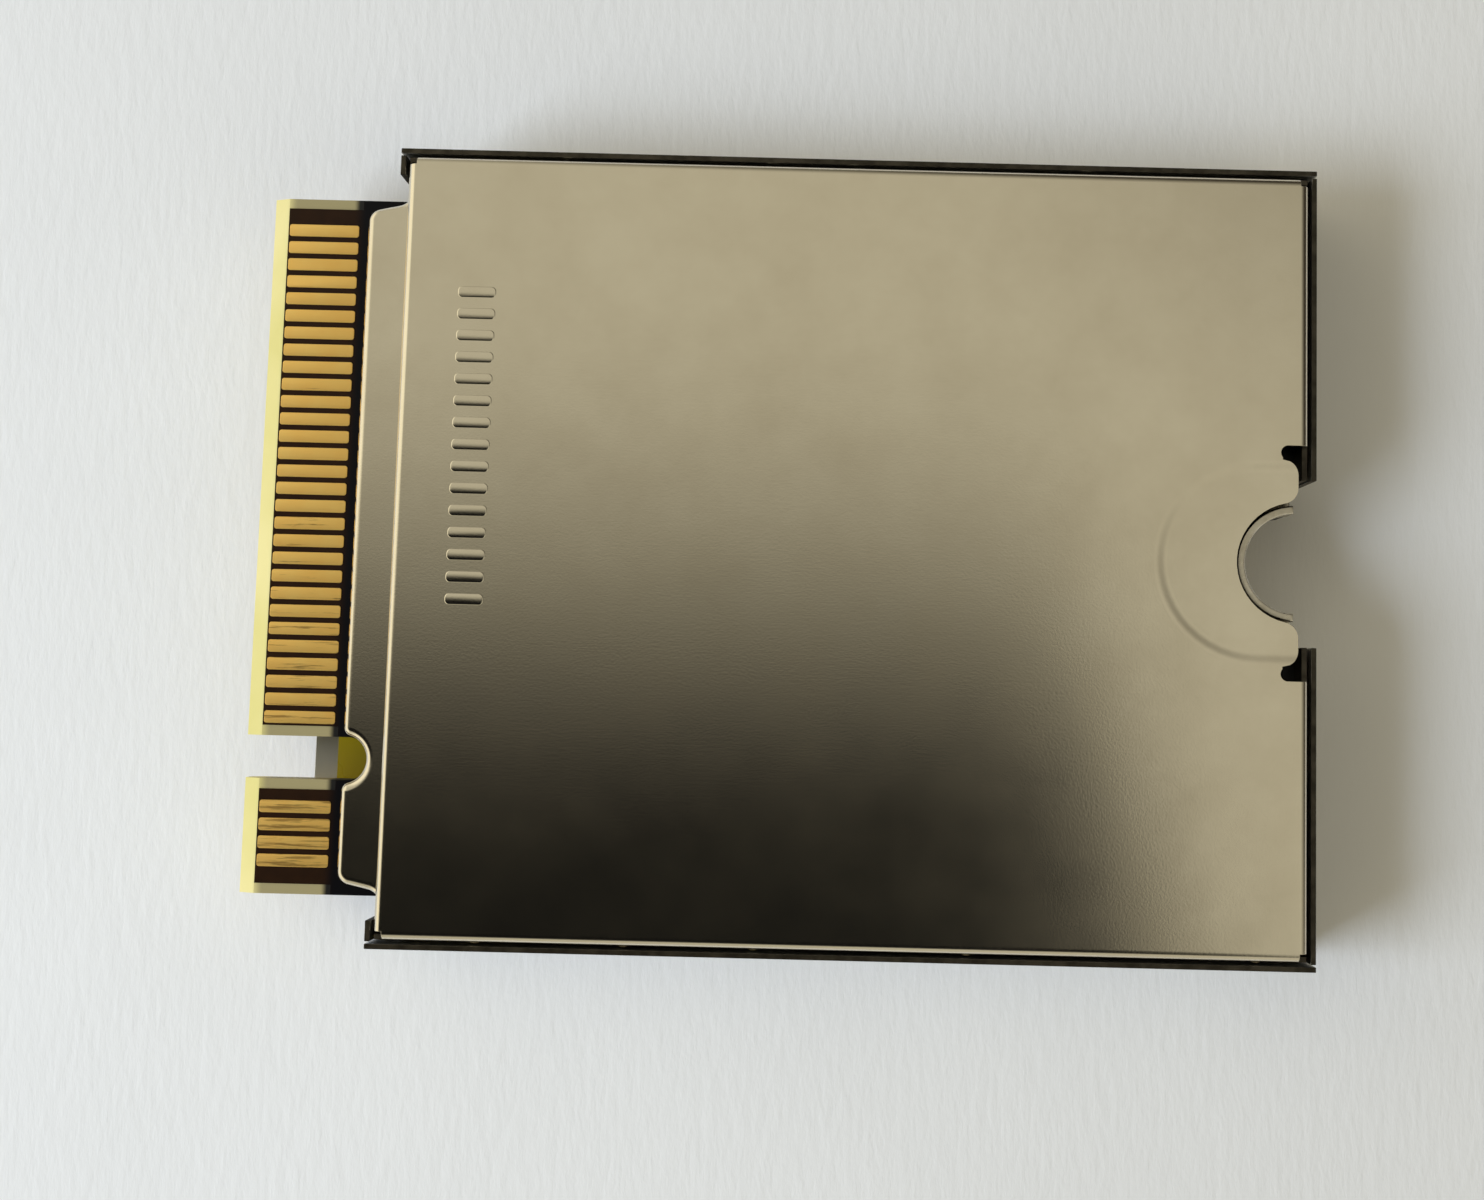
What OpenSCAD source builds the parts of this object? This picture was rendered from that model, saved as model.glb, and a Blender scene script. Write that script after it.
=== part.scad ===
// Gumstick solid state drive: a short plug-in card inside a two-piece sheet metal shield.
// X is measured from the tip of the contact tab while a piece is drawn, Y from the card's
// centre line and Z from the underside of the tray. Each piece is then moved so that the
// origin lies under the middle of the card.

/* [Card] */
// Length over everything, from the tip of the contact tab to the end of the tray
card_l = 30; // [29.5:0.5:42]
// Width of the laminate
board_w = 22; // [21.5:0.1:23]
// Thickness of the laminate
board_t = 0.8; // [0.7:0.05:1]
// Width of the contact tab
tab_w = 19.85; // [19:0.05:20]
// Length of the contact tab, up to the shoulders
tab_l = 4; // [3.8:0.1:4.4]
// Width of the key notch
key_w = 1.2; // [1:0.05:1.3]
// Depth of the key notch from the tip of the tab
key_depth = 3.5; // [3.3:0.05:3.6]
// Distance of the key notch from the centre line
key_y = 6.125; // [6.125:0.5:6.625]
// Length of the lead-in bevel at the tip of the tab
bevel_l = 0.45; // [0.2:0.05:0.48]
// Depth of the lead-in bevel at the tip of the tab
bevel_t = 0.17; // [0.1:0.01:0.3]
// Bare laminate left beside the mask along the tab's sides and the notch
bare_rim = 0.28; // [0.2:0.01:0.3]
// Thickness of the solder mask
mask_t = 0.02; // [0.02:0.01:0.03]

/* [Contacts] */
// Distance between neighbouring contacts
pitch = 0.5; // [0.5:0.01:0.52]
// Width of a contact
contact_w = 0.35; // [0.3:0.01:0.38]
// Length of a contact
contact_l = 2; // [1.8:0.1:2.1]
// Distance of the contacts from the tip of the tab
contact_x = 0.5; // [0.5:0.05:0.6]
// Thickness of the gold plated copper
contact_t = 0.04; // [0.03:0.01:0.06]

/* [Shield] */
// Thickness of the shield's sheet metal
sheet_t = 0.15; // [0.12:0.01:0.18]
// Outer radius of the folds
fold_r = 0.25; // [0.2:0.01:0.3]
// Height of the cover's top above the laminate
cover_rise = 1; // [0.9:0.05:1.3]
// Height of the lower ledge over the tab above the laminate
ledge_rise = 0.5; // [0.45:0.01:0.6]
// Distance of the ledge's front lip from the tip of the tab
ledge_x = 2.85; // [2.75:0.05:3]
// Distance of the cover's step and shoulders from the tip of the tab
step_x = 4.08; // [4.05:0.01:4.3]
// Half width over which the front lip stands clear of the shoulder walls
lip_half = 10.15; // [10.1:0.05:10.2]
// Room between the laminate and the tray's floor
lower_room = 1.4; // [1.35:0.05:1.6]
// Gap between the laminate and the tray's walls
tray_gap = 0.13; // [0.1:0.01:0.2]
// Height of the tray's walls above the laminate
tray_rise = 0.72; // [0.6:0.01:0.75]
// Distance of the tray's tongue from the tip of the tab
tongue_x = 1.3; // [1.2:0.05:2]
// Width of the tray's tongue
tongue_w = 18.6; // [17:0.1:19]
// Distance from the centre line to the tray's short walls at the shoulders
tray_ear_y = 10.5; // [10.2:0.05:10.6]
// Clear slit between neighbouring walls at a corner
corner_slit = 0.06; // [0.04:0.01:0.1]
// Radius of the dimples that centre the cover in the tray
dimple_r = 0.22; // [0.15:0.01:0.25]

/* [Screw notch] */
// Distance of the notch's centre from the end of the card
notch_back = 0.6; // [0.5:0.05:0.7]
// Radius of the screw's hole in the laminate and its seats
screw_r = 1.4; // [1.3:0.05:1.5]
// Radius of the notch in the cover
cover_notch_r = 1.7; // [1.6:0.05:1.8]
// Radius of the notch in the tray
tray_notch_r = 1.85; // [1.75:0.05:1.95]
// Outer radius of the plated lands and seats
land_r = 2.55; // [2.3:0.05:2.6]
// Radius of the dish pressed into the cover around the notch
dish_r = 2.9; // [2.8:0.05:3]
// Distance of the dish's centre from the end of the card
dish_back = 1.75; // [1.6:0.05:1.9]
// Depth of the dish
dish_depth = 0.12; // [0.08:0.01:0.14]
// Width of the dish's sloping border
dish_slope = 0.3; // [0.2:0.05:0.4]
// Width of the relief slots beside the notch
slot_w = 0.4; // [0.3:0.05:0.45]
// Length of the relief slots beside the notch
slot_l = 0.8; // [0.7:0.05:0.85]
// Radius of the rounded corners of the ear between the notch and the slots
ear_corner = 0.45; // [0.3:0.05:0.5]
// Half width of the gap between the shield's end walls
mouth_half = 2.35; // [2.3:0.05:2.6]

/* [Inside] */
// Thickness of the insulating film
film_t = 0.05; // [0.03:0.01:0.08]
// Distance of the film's edge from the tip of the tab
film_x = 1.98; // [1.8:0.02:2.2]
// Room round the controller, up to the flash and the shoulders
controller_room = 0.86; // [0.6:0.02:1.2]
// Length of the flash package along the card
flash_l = 11.5; // [10:0.5:11.5]
// Width of the flash package across the card
flash_w = 13.5; // [12:0.5:16]
// Thickness of the two large packages
package_t = 0.85; // [0.7:0.05:0.9]
// Height of the solder balls
ball_h = 0.22; // [0.18:0.01:0.25]
// Diameter of the solder balls
ball_d = 0.4; // [0.3:0.02:0.45]
// Distance between neighbouring solder balls
ball_pitch = 0.8; // [0.75:0.05:0.9]
// Height of the low chips on the face under the cover
low_chip_h = 0.55; // [0.4:0.05:0.65]
// Height of the power inductors
inductor_h = 0.7; // [0.5:0.05:0.75]
// Height of the bulk capacitors
bulk_h = 1.1; // [0.8:0.05:1.2]

/* [Hidden] */
$fn = 64;

// A cut reaches this far past the solid that it opens
over = 1;
// The flat part of a fold overlaps its plate by this much
lap = 0.1;
// Levels above the underside of the tray
floor_z = sheet_t;
board_z = floor_z + lower_room;
face_z = board_z + board_t;
top_z = face_z + cover_rise;
ledge_z = face_z + ledge_rise;
rim_z = face_z + tray_rise;
// A rounded corner of the notch crosses the notch's arc by the rest of this share of its radius
corner_bite = 0.99;
// Centres of the screw notch and of the dish
notch_x = card_l - notch_back;
dish_x = card_l - dish_back;
// The laminate ends inside the tray's end wall
board_end = card_l - sheet_t - tray_gap;
// The ear around the screw notch ends where the fold of the end walls would start
ear_x = board_end - fold_r - lap / 2;
// Surfaces of the solder mask, on the cover's and on the tray's side
high_z = face_z + mask_t;
low_z = board_z - mask_t;
// Outer faces of the tray
tray_front = step_x - tray_gap - sheet_t;
tray_half = board_w / 2 + tray_gap + sheet_t;
// Contacts are counted from the +Y end; a run without contacts is taken by the key notch
upper_first_y = 9;
lower_first_y = 9.25;
contact_rows = 38;
upper_key_rows = [29, 32];
lower_key_rows = [29, 32];
// Turns of a swept fold are drawn in steps of this many degrees
turn_step = 13;
// The front lip of the ledge turns round its corners and dips round the key notch
corner_turn = 78;
corner_r = 0.4;
shoulder_r = 0.45;
dip_entry_r = 0.25;
dip_r = 0.68;
dip_clear = 0.02;
dip_depth = key_depth + dip_clear - ledge_x;
dip_turn = acos(1 - dip_depth / (dip_entry_r + dip_r));
dip_half = (dip_entry_r + dip_r) * sin(dip_turn);
shoulder_run = (step_x - ledge_x - (corner_r + shoulder_r) * (1 - cos(corner_turn))) / sin(corner_turn);
// Half width of the straight part of the ledge's front lip
ledge_half = lip_half - (corner_r + shoulder_r) * sin(corner_turn) - shoulder_run * cos(corner_turn);
lip_path = [
    ["right", shoulder_r, corner_turn],
    ["run", shoulder_run],
    ["left", corner_r, corner_turn],
    ["run", ledge_half + key_y - dip_half],
    ["left", dip_entry_r, dip_turn],
    ["right", dip_r, 2 * dip_turn],
    ["left", dip_entry_r, dip_turn],
    ["run", ledge_half - key_y - dip_half],
    ["left", corner_r, corner_turn],
    ["run", shoulder_run],
    ["right", shoulder_r, corner_turn]
];
// The large packages stand on the tray's side: the flash ends short of the screw land and the
// controller lies between the flash and the shoulders
package_z = low_z - ball_h - package_t;
pad_t = package_z - floor_z - film_t;
ball_rim = 0.8;
flash_clear = 0.9;
side_clear = 1.4;
flash_x = notch_x - land_r - flash_clear - flash_l / 2;
controller_x = (step_x + sheet_t + flash_x - flash_l / 2) / 2;
controller_side = flash_x - flash_l / 2 - step_x - sheet_t - 2 * controller_room;
controller_y = board_w / 2 - side_clear - controller_side / 2;
// Tall capacitors and the crystal stand beside the controller, on the tray's side
spare_y = (controller_y - controller_side / 2 - board_w / 2) / 2;
bulk_size = [3.2, 1.6, bulk_h];
crystal_size = [2, 1.6, low_chip_h];
// The power supply stands on the cover's side, near the tab, with its inductors towards the notch
power_x = 9;
power_y = -0.295 * board_w;
power_side = 3;
power_gap = 0.8;
inductor_size = [2, 1.6, inductor_h];
inductor_x = power_x + power_side / 2 + power_gap + inductor_size[0] / 2;
pad_rim = 0.2;
memory_size = [3, 2, low_chip_h];
switch_size = [1.2, 1.2, low_chip_h];
fuse_size = [1.6, 0.8, 0.5];
feed_x = power_x - power_side / 2 - power_gap - switch_size[0] / 2;
// Rows of small parts run from the inductors towards the screw; a column stands beside the chips
capacitor_size = [1, 0.5, 0.5];
resistor_size = [1, 0.5, 0.35];
row_places = 5;
row_from = inductor_x + inductor_size[0] / 2 + 1.7;
row_to = notch_x - land_r - 3.85;
row_x = [for (k = [0 : row_places - 1]) row_from + k * (row_to - row_from) / (row_places - 1)];
column_y = [-2 : 1 : 4];
middle_y = [-3.4 : 1.7 : 3.4];
column_gap = 2.2;
// Places of the dimples as shares of the side walls, on the -Y and on the +Y side
near_dimples = [0.106, 0.266, 0.406, 0.636, 0.948];
far_dimples = [0.176, 0.404, 0.496, 0.757];

// Moves a piece from the tab's tip to the frame under the middle of the card
module in_place() {
    translate([-card_l / 2, 0, 0]) children();
}

// Section of a fold: the wall stands on the X axis and the flat leaves at its top
module fold_profile(height) {
    square([sheet_t, height - fold_r]);
    translate([fold_r, height - sheet_t]) square([lap, sheet_t]);
    translate([fold_r, height - fold_r]) intersection() {
        difference() {
            circle(fold_r);
            circle(fold_r - sheet_t);
        }
        translate([-fold_r, 0]) square([fold_r, fold_r]);
    }
}

// A straight fold along X, its plate on the +Y side
module straight_fold(length, height) {
    rotate([90, 0, 90]) linear_extrude(length) fold_profile(height);
}

// Stations along a path of runs and turns, each a place and a heading; turns have even steps
function path_stations(path, at = [0, 0], head = 0, i = 0) =
    i == len(path) ? [[at, head]] :
    let (
        step = path[i],
        side = step[0] == "left" ? 1 : -1,
        count = step[0] == "run" ? 1 : ceil(step[2] / turn_step),
        spots = [for (k = [0 : count]) step[0] == "run" ?
            [at + k * step[1] * [cos(head), sin(head)], head] :
            let (a = head + side * step[2] * k / count)
            [at + side * step[1] * [sin(a) - sin(head), cos(head) - cos(a)], a]]
    )
    concat([for (k = [0 : count - 1]) spots[k]],
        path_stations(path, spots[count][0], spots[count][1], i + 1));

// A point that lies beside a station, on its left hand
function beside(station, inset) = station[0] + inset * [-sin(station[1]), cos(station[1])];

// A wall and its fold along one straight edge; the wall may reach past the fold at both ends
module edge_wall(length, height, fold_from, fold_to) {
    translate([fold_from, 0, 0]) straight_fold(fold_to - fold_from, height);
    cube([length, sheet_t, height - fold_r]);
}

// Outline of the raised top plate, inside its folds
module plate_outline() {
    inner_half = board_w / 2 - fold_r - lap / 2;
    translate([step_x + fold_r + lap / 2, -inner_half])
        square([board_end - step_x - 2 * fold_r - lap, 2 * inner_half]);
}

module dish_body(depth) {
    foot = dish_r - dish_slope;
    translate([dish_x, 0, -depth]) cylinder(r1 = foot, r2 = dish_r, h = depth);
    translate([dish_x, 0, -depth]) rotate([90, 0, 90]) linear_extrude(card_l - dish_x)
        polygon([[-foot, 0], [foot, 0], [dish_r, depth], [-dish_r, depth]]);
}

// Two bits of end wall, one on each side of the mouth
module end_walls(height, outer_x, outer_half, fold_start) {
    reach = outer_half - sheet_t - corner_slit - mouth_half;
    for (side = [1, -1])
        scale([1, side, 1]) translate([outer_x, mouth_half, 0]) rotate([0, 0, 90])
            edge_wall(reach, height, fold_start - mouth_half, outer_half - fold_r - mouth_half);
}

// Two side walls along the card, with their fold and their dimples
module side_walls(height, from_x, to_x, outer_half) {
    for (side = [1, -1])
        scale([1, side, 1]) translate([from_x, -outer_half, 0])
            edge_wall(to_x - from_x, height, fold_r, to_x - from_x - fold_r);
}

// Two short walls that close the shoulders beside the tab
module shoulder_walls(height, outer_x, inner_y, outer_half) {
    length = outer_half - sheet_t - corner_slit - inner_y;
    for (side = [1, -1])
        scale([1, side, 1]) translate([outer_x, -inner_y, 0]) rotate([0, 0, -90])
            edge_wall(length, height, 0, outer_half - fold_r - inner_y);
}

module cover_dimples(places, side) {
    reach = sheet_t / 2 + tray_gap * 0.8;
    wall_y = side * (board_w - sheet_t) / 2;
    for (share = places)
        translate([step_x + share * (board_end - step_x), wall_y, face_z + tray_rise / 2])
            rotate([-90 * side, 0, 0]) cylinder(r1 = dimple_r, r2 = dimple_r / 2, h = reach);
}

// Outline of the ledge at a set distance inside the outer face of its lip
module ledge_outline(inset) intersection() {
    polygon(concat(
        [for (s = path_stations(lip_path), p = [beside(s, inset)]) [step_x + p[1], lip_half - p[0]]],
        [[step_x + over, -lip_half], [step_x + over, lip_half]]
    ));
    translate([0, -lip_half]) square([step_x + sheet_t / 2, 2 * lip_half]);
}

// The lower ledge over the tab, its lip and the step up to the top plate
module ledge() {
    step_wall = cover_rise - ledge_rise + sheet_t / 2;
    difference() {
        translate([0, 0, high_z]) linear_extrude(ledge_z - high_z) ledge_outline(0);
        translate([0, 0, high_z - over]) linear_extrude(ledge_z - sheet_t - high_z + over)
            ledge_outline(sheet_t);
    }
    translate([step_x, lip_half, top_z - step_wall]) rotate([0, 0, -90])
        straight_fold(2 * lip_half, step_wall);
}

// The screw notch as a flat outline, with corners rounded into the end of the ear
module mouth_outline(r, corner, end_x) {
    hub_x = end_x - corner;
    hub_y = sqrt(pow(r + corner * corner_bite, 2) - pow(hub_x - notch_x, 2));
    translate([notch_x, 0]) circle(r);
    difference() {
        polygon([
            [notch_x, 0], [hub_x, hub_y], [end_x, hub_y], [end_x + over, hub_y],
            [end_x + over, -hub_y], [end_x, -hub_y], [hub_x, -hub_y]
        ]);
        for (side = [1, -1]) translate([hub_x, side * hub_y]) circle(corner);
    }
}

// Relief slots between the ear and the folded end walls, with the ear's outer corners rounded
module slot_outline() {
    for (side = [1, -1]) scale([1, side]) translate([0, dish_r]) {
        translate([board_end - slot_l + slot_w / 2, slot_w / 2]) circle(slot_w / 2);
        translate([board_end - slot_l + slot_w / 2, 0]) square([slot_l, slot_w]);
        difference() {
            translate([ear_x - ear_corner, -ear_corner]) square([ear_corner + over, ear_corner + lap]);
            translate([ear_x - ear_corner, -ear_corner]) circle(ear_corner);
        }
    }
}

module upper_cover() color("tan") in_place() {
    difference() {
        union() {
            translate([0, 0, top_z - sheet_t]) linear_extrude(sheet_t) plate_outline();
            intersection() {
                translate([0, 0, top_z - sheet_t]) dish_body(dish_depth);
                translate([0, 0, face_z]) linear_extrude(cover_rise) plate_outline();
            }
        }
        translate([0, 0, top_z]) dish_body(dish_depth);
        translate([0, 0, face_z]) linear_extrude(cover_rise + over) {
            mouth_outline(cover_notch_r, ear_corner, ear_x);
            slot_outline();
        }
    }
    translate([0, 0, face_z]) {
        side_walls(cover_rise, step_x, board_end, board_w / 2);
        end_walls(cover_rise, board_end, board_w / 2, dish_r + slot_w);
        shoulder_walls(cover_rise, step_x, lip_half, board_w / 2);
    }
    ledge();
    cover_dimples(near_dimples, -1);
    cover_dimples(far_dimples, 1);
}

// Outline of the tray's floor, inside its folds, with the tongue that reaches under the tab
module floor_outline() {
    inner_half = tray_half - fold_r - lap / 2;
    inner_front = tray_front + fold_r + lap / 2;
    difference() {
        union() {
            translate([inner_front, -inner_half])
                square([card_l - fold_r - lap / 2 - inner_front, 2 * inner_half]);
            translate([tray_front, -tray_ear_y]) square([card_l / 2, 2 * tray_ear_y]);
            translate([tongue_x, -tongue_w / 2]) square([card_l / 2, tongue_w]);
        }
        mouth_outline(tray_notch_r, ear_corner / 2, card_l - fold_r - lap / 2);
    }
}

module lower_tray() color("silver") in_place() {
    linear_extrude(sheet_t) floor_outline();
    translate([0, 0, rim_z]) mirror([0, 0, 1]) {
        side_walls(rim_z, tray_front, card_l, tray_half);
        end_walls(rim_z, card_l, tray_half, mouth_half);
        shoulder_walls(rim_z, tray_front, tray_ear_y, tray_half);
    }
}

// Outline of the key notch, wider by a margin on each side
module key_outline(margin) {
    translate([-over, -key_y - key_w / 2 - margin])
        square([key_depth - key_w / 2 + over, key_w + 2 * margin]);
    translate([key_depth - key_w / 2, -key_y]) circle(key_w / 2 + margin);
}

module board_outline() {
    difference() {
        union() {
            translate([0, -tab_w / 2]) square([tab_l + over, tab_w]);
            translate([tab_l, -board_w / 2]) square([board_end - tab_l, board_w]);
        }
        key_outline(0);
        mouth_outline(screw_r, ear_corner / 2, ear_x);
        translate([ear_x, -mouth_half]) square([over, 2 * mouth_half]);
    }
}

module circuit_board() color("darkkhaki") in_place() difference() {
    translate([0, 0, board_z]) linear_extrude(board_t) board_outline();
    for (face = [[face_z, -1], [board_z, 1]])
        translate([0, -tab_w / 2 - over, face[0]]) rotate([-90, 0, 0]) linear_extrude(tab_w + 2 * over)
            polygon([[-over, 0], [-over, -face[1] * bevel_t * (1 + over / bevel_l)], [bevel_l, 0]]);
}

// Centre lines of the contacts on one face, without the rows that the key notch takes
function contact_lines(first_y, last_row, key_rows) =
    [for (row = [0 : last_row]) if (row < key_rows[0] || row > key_rows[1]) first_y - row * pitch];

upper_lines = contact_lines(upper_first_y, contact_rows - 2, upper_key_rows);
lower_lines = contact_lines(lower_first_y, contact_rows - 1, lower_key_rows);

module contact_outline(lines, grow) {
    for (y = lines)
        translate([contact_x - grow, y - contact_w / 2 - grow])
            square([contact_l + 2 * grow, contact_w + 2 * grow]);
}

module mask_outline(lines) {
    wall_clear = sheet_t + lap;
    difference() {
        union() {
            translate([contact_x - contact_t, bare_rim - tab_w / 2])
                square([tab_l + over, tab_w - 2 * bare_rim]);
            translate([step_x + wall_clear, wall_clear - board_w / 2])
                square([board_end - step_x - 2 * wall_clear, board_w - 2 * wall_clear]);
        }
        key_outline(bare_rim);
        contact_outline(lines, 0);
        translate([notch_x, 0]) circle(land_r + lap);
    }
}

module upper_solder_mask() color("#14161f") in_place()
    translate([0, 0, face_z]) linear_extrude(mask_t) mask_outline(upper_lines);

module lower_solder_mask() color("#14161f") in_place()
    translate([0, 0, low_z]) linear_extrude(mask_t) mask_outline(lower_lines);

module upper_contacts() color("goldenrod") in_place()
    translate([0, 0, face_z]) linear_extrude(contact_t) contact_outline(upper_lines, 0);

module lower_contacts() color("goldenrod") in_place()
    translate([0, 0, board_z - contact_t]) linear_extrude(contact_t) contact_outline(lower_lines, 0);

// Half ring around the screw, open to the end of the card
module half_ring(inner, outer, height) linear_extrude(height) difference() {
    reach = ear_x - ear_corner / 2 - notch_x;
    intersection() {
        translate([notch_x, 0]) circle(outer);
        translate([notch_x - 2 * outer, -outer]) square([2 * outer + reach, 2 * outer]);
    }
    translate([notch_x, 0]) circle(inner);
}

module screw_land() color("silver") in_place()
    for (z = [face_z, board_z - contact_t])
        translate([0, 0, z]) half_ring(screw_r, land_r, contact_t);

module upper_screw_seat() color("lightgray") in_place()
    translate([0, 0, face_z + contact_t])
        half_ring(screw_r, land_r - lap, cover_rise - sheet_t - dish_depth - contact_t);

module lower_screw_seat() color("lightgray") in_place()
    translate([0, 0, floor_z])
        half_ring(tray_notch_r, land_r - lap, lower_room - contact_t);

module insulating_film() color("darkgoldenrod") in_place()
    translate([0, 0, floor_z]) linear_extrude(film_t) difference() {
        union() {
            translate([film_x, lap - tongue_w / 2]) square([card_l / 2, tongue_w - 2 * lap]);
            translate([tray_front + fold_r + lap, fold_r + lap - tray_half])
                square([card_l - tray_front - 2 * (fold_r + lap), 2 * (tray_half - fold_r - lap)]);
        }
        translate([notch_x, 0]) circle(land_r + lap);
    }

// A block given by the middle of its foot and its size
module block(x, y, z, size) {
    translate([x - size[0] / 2, y - size[1] / 2, z]) cube(size);
}

// A grid of solder balls under a package, drawn as short barrels
module ball_grid(x, y, nx, ny) {
    at_x = x - (nx - 1) / 2 * ball_pitch;
    at_y = y - (ny - 1) / 2 * ball_pitch;
    for (i = [0 : nx - 1], j = [0 : ny - 1])
        translate([at_x + i * ball_pitch, at_y + j * ball_pitch, low_z - ball_h])
            cylinder(d = ball_d, h = ball_h);
}

// A two-ended chip part: a ceramic body between two plated end caps
module end_cap_part(x, y, z, size) {
    cap_l = size[0] / 4;
    block(x, y, z, [size[0] - cap_l, size[1] * 0.94, size[2] * 0.96]);
    for (side = [1, -1]) block(x + side * (size[0] - cap_l) / 2, y, z, [cap_l, size[1], size[2]]);
}

module controller_chip() color("#26282b") in_place()
    block(controller_x, controller_y, package_z, [controller_side, controller_side, package_t]);

module controller_balls() color("lightsteelblue") in_place() {
    count = floor((controller_side - 2 * ball_rim) / ball_pitch) + 1;
    ball_grid(controller_x, controller_y, count, count);
}

module flash_package() color("#1d1f22") in_place()
    block(flash_x, 0, package_z, [flash_l, flash_w, package_t]);

module flash_balls() color("lightsteelblue") in_place()
    ball_grid(flash_x, 0, floor((flash_l - 2 * ball_rim) / ball_pitch / 2) * 2,
        floor((flash_w - 2 * ball_rim) / ball_pitch));

module controller_pad() color("lightpink") in_place()
    block(controller_x, controller_y, floor_z + film_t,
        [controller_side - ball_rim, controller_side - ball_rim, pad_t]);

module flash_pad() color("lightpink") in_place()
    block(flash_x, 0, floor_z + film_t, [flash_l - ball_rim, flash_w - ball_rim, pad_t]);

module power_chip() color("#2a2c30") in_place()
    block(power_x, power_y, high_z, [power_side, power_side, low_chip_h]);

module power_chip_pad() color("lightblue") in_place() {
    side = power_side - 2 * pad_rim;
    block(power_x, power_y, high_z + low_chip_h,
        [side, side, cover_rise - sheet_t - mask_t - low_chip_h]);
}

module power_inductors() color("dimgray") in_place()
    for (side = [1, -1])
        end_cap_part(inductor_x, power_y + side * inductor_size[1] * 0.8, high_z, inductor_size);

module bulk_capacitors() color("darkorange") in_place()
    for (side = [1, -1])
        end_cap_part(controller_x - bulk_size[0] / 2, spare_y + side * bulk_size[1], low_z - bulk_h,
            bulk_size);

module crystal() color("gainsboro") in_place()
    block(controller_x + crystal_size[0], spare_y, low_z - low_chip_h, crystal_size);

module boot_memory_chip() color("#2a2c30") in_place()
    block(power_x, -power_y, high_z, memory_size);

module load_switch_chip() color("#2a2c30") in_place()
    block(feed_x, power_y, high_z, switch_size);

module input_fuse() color("seagreen") in_place()
    end_cap_part(feed_x, power_y - switch_size[1] - fuse_size[1], high_z, fuse_size);

module small_capacitors() color("burlywood") in_place() {
    for (x = row_x, side = [1, -1]) end_cap_part(x, side * 0.34 * board_w, high_z, capacitor_size);
    for (y = column_y) end_cap_part(power_x, y, high_z, capacitor_size);
    for (y = middle_y) end_cap_part((row_from + row_to) / 2, y, high_z, capacitor_size);
}

module small_resistors() color("black") in_place() {
    for (x = row_x, side = [1, -1]) end_cap_part(x, side * 0.41 * board_w, high_z, resistor_size);
    for (y = column_y) end_cap_part(power_x + column_gap, y, high_z, resistor_size);
}

upper_cover();
lower_tray();
circuit_board();
upper_solder_mask();
lower_solder_mask();
upper_contacts();
lower_contacts();
screw_land();
upper_screw_seat();
lower_screw_seat();
insulating_film();
controller_chip();
controller_balls();
flash_package();
flash_balls();
controller_pad();
flash_pad();
power_chip();
power_chip_pad();
power_inductors();
bulk_capacitors();
crystal();
boot_memory_chip();
load_switch_chip();
input_fuse();
small_capacitors();
small_resistors();
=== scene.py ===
from math import acos, ceil, cos, pi, radians, sin, sqrt
import bmesh
import bpy
from mathutils import Matrix, Vector


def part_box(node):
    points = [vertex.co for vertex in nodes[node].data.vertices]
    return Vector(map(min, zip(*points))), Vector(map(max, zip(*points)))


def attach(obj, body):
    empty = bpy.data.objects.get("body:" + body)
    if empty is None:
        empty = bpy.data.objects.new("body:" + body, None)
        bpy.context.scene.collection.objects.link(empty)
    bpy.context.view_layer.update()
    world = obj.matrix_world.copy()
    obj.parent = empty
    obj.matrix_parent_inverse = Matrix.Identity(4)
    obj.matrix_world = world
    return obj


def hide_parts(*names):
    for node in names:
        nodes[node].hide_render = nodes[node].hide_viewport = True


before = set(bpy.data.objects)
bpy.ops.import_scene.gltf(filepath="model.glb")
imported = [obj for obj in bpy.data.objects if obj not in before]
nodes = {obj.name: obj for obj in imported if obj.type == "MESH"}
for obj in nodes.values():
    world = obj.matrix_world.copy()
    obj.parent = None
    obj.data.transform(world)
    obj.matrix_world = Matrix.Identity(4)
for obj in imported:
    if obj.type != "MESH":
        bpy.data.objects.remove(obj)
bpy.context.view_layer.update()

# The camera: a phone held flat, a hand's breadth above the drive, a little towards its lower edge.
# Its place, tilt and lens come from the contacts' known pitch and the edges of the shell.
mm = 0.001
camera = bpy.data.objects.new("camera", bpy.data.cameras.new("camera"))
bpy.context.scene.collection.objects.link(camera)
bpy.context.scene.camera = camera
right = Vector((0.9997, 0.0252, 0.0032)).normalized()
back = Vector((-0.0011, -0.0799, 0.9968))
back = (back - right * back.dot(right)).normalized()
turned = Matrix((right, back.cross(right), back)).transposed().to_4x4()
camera.matrix_world = Matrix.Translation(Vector((1.34, -3.91, 48.22)) * mm) @ turned
camera.data.sensor_width = 36
camera.data.lens = 39.2
camera.data.shift_x = -0.0604
camera.data.shift_y = -0.0254
camera.data.clip_start = 1 * mm
camera.data.clip_end = 10


# The room: warm light from pale walls and ceiling, and above the drive the dim shape of who holds
# the camera, which the satin metal mirrors softly. It is given by direction, as a studio flag is.
def linear(code):
    """A colour for a shader, from its sRGB hex value."""
    parts = [int(code[k:k + 2], 16) / 255 for k in (1, 3, 5)]
    return (*[c / 12.92 if c < 0.04045 else ((c + 0.055) / 1.055) ** 2.4 for c in parts], 1)


def add(tree, kind, sockets=None, **settings):
    """Adds one shader node, with its settings and with its sockets set or joined."""
    made = tree.nodes.new("ShaderNode" + kind)
    for name, value in settings.items():
        setattr(made, name, value)
    for name, value in (sockets or {}).items():
        if isinstance(value, bpy.types.NodeSocket):
            tree.links.new(value, made.inputs[name])
        else:
            made.inputs[name].default_value = value
    return made


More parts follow.
